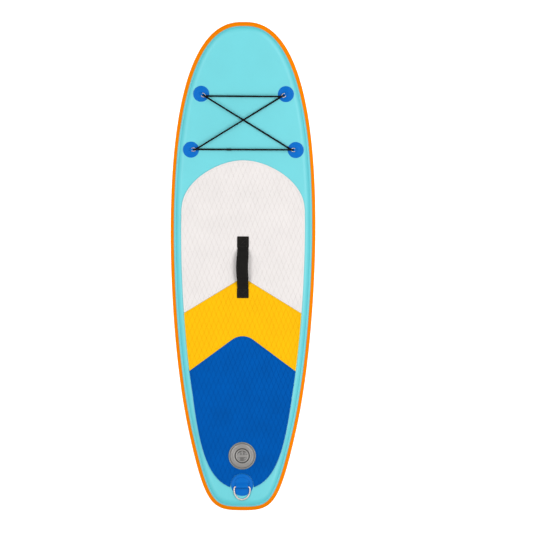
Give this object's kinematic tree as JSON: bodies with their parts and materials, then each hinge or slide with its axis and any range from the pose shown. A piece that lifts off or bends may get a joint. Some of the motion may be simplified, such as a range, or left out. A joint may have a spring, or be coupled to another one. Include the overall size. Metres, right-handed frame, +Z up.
{
  "type": "stand up paddleboard",
  "caption": "Inflatable youth paddleboard: drop-stitch hull, foam deck pad, bungee net, carry handle, inflation valve, leash ring and fins.",
  "frame": {"origin": "under the middle of the board in plan, level with the tip of the centre fin", "axes": "+Z up out of the deck, +Y towards the nose, +X to the right"},
  "size_m": [0.5434, 1.83, 0.2993],
  "materials": {
    "hull_turquoise": "satin",
    "rail_orange": "satin",
    "drop_stitch_cloth": "matte",
    "pad_white": "matte",
    "pad_yellow": "matte",
    "pad_blue": "matte",
    "patch_blue": "satin",
    "webbing_black": "matte",
    "cord_black": "matte",
    "valve_grey": "satin",
    "seal_rubber": "matte",
    "fitting_black": "satin",
    "fin_plastic": "satin",
    "steel": "polished",
    "brass": "satin"
  },
  "bodies": {
    "board": {"deck_skin": "hull_turquoise", "bottom_skin": "hull_turquoise", "seam_tape": "hull_turquoise", "rail_band": "rail_orange", "drop_stitch_core": "drop_stitch_cloth", "deck_pad_white": "pad_white", "deck_pad_yellow": "pad_yellow", "deck_pad_blue": "pad_blue", "bungee_patch_front_left": "patch_blue", "bungee_loop_front_left": "patch_blue", "bungee_ring_front_left": "steel", "bungee_patch_front_right": "patch_blue", "bungee_loop_front_right": "patch_blue", "bungee_ring_front_right": "steel", "bungee_patch_rear_left": "patch_blue", "bungee_loop_rear_left": "patch_blue", "bungee_ring_rear_left": "steel", "bungee_patch_rear_right": "patch_blue", "bungee_loop_rear_right": "patch_blue", "bungee_ring_rear_right": "steel", "bungee_cord": "cord_black", "bungee_sleeve": "fitting_black", "handle_tab_front": "webbing_black", "handle_tab_rear": "webbing_black", "handle_webbing": "webbing_black", "valve_body": "valve_grey", "valve_nut": "valve_grey", "valve_spring": "steel", "leash_patch": "patch_blue", "leash_strap": "patch_blue", "leash_cover": "patch_blue", "fin_box": "fitting_black", "side_fin_left": "fin_plastic", "side_fin_right": "fin_plastic"},
    "handle": {"handle_grip": "webbing_black"},
    "valve_plunger": {"valve_seal": "seal_rubber"},
    "valve_stem": {"valve_stem": "fitting_black"},
    "valve_cap_ring": {"valve_cap_seal": "seal_rubber"},
    "valve_cap": {"valve_cap": "valve_grey"},
    "leash_ring": {"leash_ring": "steel"},
    "centre_fin": {"centre_fin": "fin_plastic", "fin_pin": "brass", "fin_nut_plate": "brass"},
    "fin_screw": {"fin_screw": "brass"}
  },
  "joints": [
    {"name": "handle_lift", "type": "slide", "parent": "board", "child": "handle", "axis": [0, 0, 1], "range_m": [0, 0.015], "deforming": ["handle_webbing"]},
    {"name": "valve_press", "type": "slide", "parent": "board", "child": "valve_plunger", "axis": [0, 0, -1], "range_m": [0, 0.006], "stiffness_N_per_m": 600, "springref_m": -0.006, "deforming": ["valve_spring"]},
    {"name": "valve_stem_twist", "type": "hinge", "parent": "valve_plunger", "child": "valve_stem", "pos_m": [0, -0.7095, 0.24], "axis": [0, 0, 1], "range_deg": [0, 90]},
    {"name": "valve_cap_travel", "type": "slide", "parent": "board", "child": "valve_cap_ring", "axis": [0, 0, 1], "range_m": [0, 0.012]},
    {"name": "valve_cap_turn", "type": "hinge", "parent": "valve_cap_ring", "child": "valve_cap", "pos_m": [0, -0.7095, 0.25], "axis": [0, 0, 1], "range_deg": [0, 720]},
    {"name": "leash_ring_swing", "type": "hinge", "parent": "board", "child": "leash_ring", "pos_m": [0, -0.826, 0.2522], "axis": [-1, 0, 0], "range_deg": [0, 165]},
    {"name": "fin_fore_aft", "type": "slide", "parent": "board", "child": "centre_fin", "axis": [0, 1, 0], "range_m": [-0.008, 0.01]},
    {"name": "fin_screw_turn", "type": "hinge", "parent": "centre_fin", "child": "fin_screw", "pos_m": [0, -0.552, 0.12], "axis": [0, 0, 1], "continuous": true}
  ],
  "couplings": [
    {"joint": "valve_cap_turn", "follows": "valve_cap_travel", "rad_per_m": 1047.2}
  ]
}
